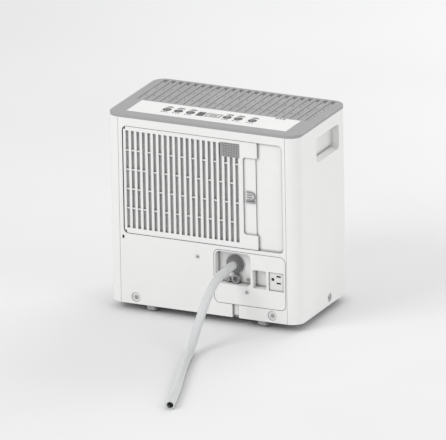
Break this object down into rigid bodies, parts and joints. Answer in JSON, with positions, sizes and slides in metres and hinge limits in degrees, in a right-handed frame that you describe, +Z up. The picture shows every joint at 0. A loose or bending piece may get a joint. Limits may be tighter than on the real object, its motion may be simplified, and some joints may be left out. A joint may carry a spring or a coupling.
{
  "type": "dehumidifier",
  "caption": "Compact white box dehumidifier with a slotted filter cover, grey louvred top, control strip, drain hose and castors.",
  "frame": {"origin": "on the floor under the middle of the cabinet", "axes": "+Z up, -Y out of the rear face that holds the filter and the drain outlet, +Y out of the front where the bucket slides out, +X to the right seen from behind"},
  "size_m": [0.38, 0.6743, 0.3745],
  "materials": {
    "white_plastic": "satin",
    "grey_plastic": "satin",
    "dark_plastic": "matte",
    "hose_nut_grey": "satin",
    "soft_rubber": "matte",
    "clear_hose": "satin",
    "filter_cloth": "matte",
    "display_pale": "gloss",
    "bucket_clear": "gloss",
    "float_foam": "matte",
    "circuit_board": "satin",
    "fin_aluminium": "satin",
    "copper": "satin",
    "black_steel": "satin",
    "steel": "brushed"
  },
  "bodies": {
    "root": {"rear_cover": "white_plastic", "front_cover": "white_plastic", "base_pan": "grey_plastic", "bay_wall": "grey_plastic", "inner_shelf": "grey_plastic", "left_side_cover": "white_plastic", "left_handle_cup": "white_plastic", "right_side_cover": "white_plastic", "right_handle_cup": "white_plastic", "top_grille": "grey_plastic", "control_panel": "white_plastic", "display_window": "display_pale", "control_board": "circuit_board", "humidity_sensor": "circuit_board", "service_panel": "white_plastic", "plug_holder": "white_plastic", "drain_spigot": "hose_nut_grey", "hose_nut": "hose_nut_grey", "drain_hose": "clear_hose", "drain_cap": "soft_rubber", "cord_gland": "soft_rubber", "bucket_switch": "dark_plastic", "drip_tray": "grey_plastic", "evaporator_coil": "fin_aluminium", "condenser_coil": "fin_aluminium", "fan_housing": "grey_plastic", "fan_motor": "steel", "compressor": "black_steel", "compressor_feet": "soft_rubber", "suction_pipe": "copper", "discharge_pipe": "copper", "filter_drier": "copper", "run_capacitor": "fin_aluminium", "cover_screws": "steel", "panel_screws": "steel"},
    "filter_cover": {"filter_grille": "white_plastic", "filter_mesh": "filter_cloth", "sensor_screen": "grey_plastic"},
    "latch": {"filter_latch": "white_plastic"},
    "bucket": {"water_bucket": "bucket_clear", "bucket_lid": "grey_plastic", "bucket_front": "white_plastic", "bucket_window": "bucket_clear"},
    "float": {"bucket_float": "float_foam"},
    "fan": {"fan_impeller": "dark_plastic", "fan_shaft": "steel"},
    "mode_button": {"mode_button": "dark_plastic"},
    "fan_button": {"fan_button": "dark_plastic"},
    "filter_button": {"filter_button": "dark_plastic"},
    "humidity_button": {"humidity_button": "dark_plastic"},
    "timer_button": {"timer_button": "dark_plastic"},
    "power_button": {"power_button": "dark_plastic"},
    "fork_front_right": {"castor_fork_front_right": "steel"},
    "wheel_front_right": {"castor_wheel_front_right": "grey_plastic"},
    "fork_front_left": {"castor_fork_front_left": "steel"},
    "wheel_front_left": {"castor_wheel_front_left": "grey_plastic"},
    "fork_rear_right": {"castor_fork_rear_right": "steel"},
    "wheel_rear_right": {"castor_wheel_rear_right": "grey_plastic"},
    "fork_rear_left": {"castor_fork_rear_left": "steel"},
    "wheel_rear_left": {"castor_wheel_rear_left": "grey_plastic"}
  },
  "joints": [
    {"name": "filter_hinge", "type": "hinge", "parent": "root", "child": "filter_cover", "pos_m": [-0.155, -0.1063, 0.25], "axis": [0, 0, -1], "range_deg": [0, 95]},
    {"name": "latch_slide", "type": "slide", "parent": "filter_cover", "child": "latch", "axis": [-1, 0, 0], "range_m": [0, 0.003], "stiffness_N_per_m": 300},
    {"name": "bucket_slide", "type": "slide", "parent": "root", "child": "bucket", "axis": [0, 1, 0], "range_m": [0, 0.19]},
    {"name": "float_hinge", "type": "hinge", "parent": "bucket", "child": "float", "pos_m": [-0.02, -0.056, 0.1], "axis": [1, 0, 0], "range_deg": [0, 20]},
    {"name": "fan_spin", "type": "hinge", "parent": "root", "child": "fan", "pos_m": [-0.037, 0, 0.244], "axis": [0, 1, 0], "continuous": true},
    {"name": "mode_button_press", "type": "slide", "parent": "root", "child": "mode_button", "axis": [0, 0, -1], "range_m": [0, 0.0008], "stiffness_N_per_m": 500},
    {"name": "fan_button_press", "type": "slide", "parent": "root", "child": "fan_button", "axis": [0, 0, -1], "range_m": [0, 0.0008], "stiffness_N_per_m": 500},
    {"name": "filter_button_press", "type": "slide", "parent": "root", "child": "filter_button", "axis": [0, 0, -1], "range_m": [0, 0.0008], "stiffness_N_per_m": 500},
    {"name": "humidity_button_press", "type": "slide", "parent": "root", "child": "humidity_button", "axis": [0, 0, -1], "range_m": [0, 0.0008], "stiffness_N_per_m": 500},
    {"name": "timer_button_press", "type": "slide", "parent": "root", "child": "timer_button", "axis": [0, 0, -1], "range_m": [0, 0.0008], "stiffness_N_per_m": 500},
    {"name": "power_button_press", "type": "slide", "parent": "root", "child": "power_button", "axis": [0, 0, -1], "range_m": [0, 0.0008], "stiffness_N_per_m": 500},
    {"name": "swivel_front_right", "type": "hinge", "parent": "root", "child": "fork_front_right", "pos_m": [0.111, 0.085, 0.03], "axis": [0, 0, 1], "continuous": true},
    {"name": "roll_front_right", "type": "hinge", "parent": "fork_front_right", "child": "wheel_front_right", "pos_m": [0.111, 0.08, 0.013], "axis": [1, 0, 0], "continuous": true},
    {"name": "swivel_front_left", "type": "hinge", "parent": "root", "child": "fork_front_left", "pos_m": [-0.111, 0.085, 0.03], "axis": [0, 0, 1], "continuous": true},
    {"name": "roll_front_left", "type": "hinge", "parent": "fork_front_left", "child": "wheel_front_left", "pos_m": [-0.111, 0.08, 0.013], "axis": [1, 0, 0], "continuous": true},
    {"name": "swivel_rear_right", "type": "hinge", "parent": "root", "child": "fork_rear_right", "pos_m": [0.111, -0.085, 0.03], "axis": [0, 0, 1], "continuous": true},
    {"name": "roll_rear_right", "type": "hinge", "parent": "fork_rear_right", "child": "wheel_rear_right", "pos_m": [0.111, -0.09, 0.013], "axis": [1, 0, 0], "continuous": true},
    {"name": "swivel_rear_left", "type": "hinge", "parent": "root", "child": "fork_rear_left", "pos_m": [-0.111, -0.085, 0.03], "axis": [0, 0, 1], "continuous": true},
    {"name": "roll_rear_left", "type": "hinge", "parent": "fork_rear_left", "child": "wheel_rear_left", "pos_m": [-0.111, -0.09, 0.013], "axis": [1, 0, 0], "continuous": true}
  ]
}
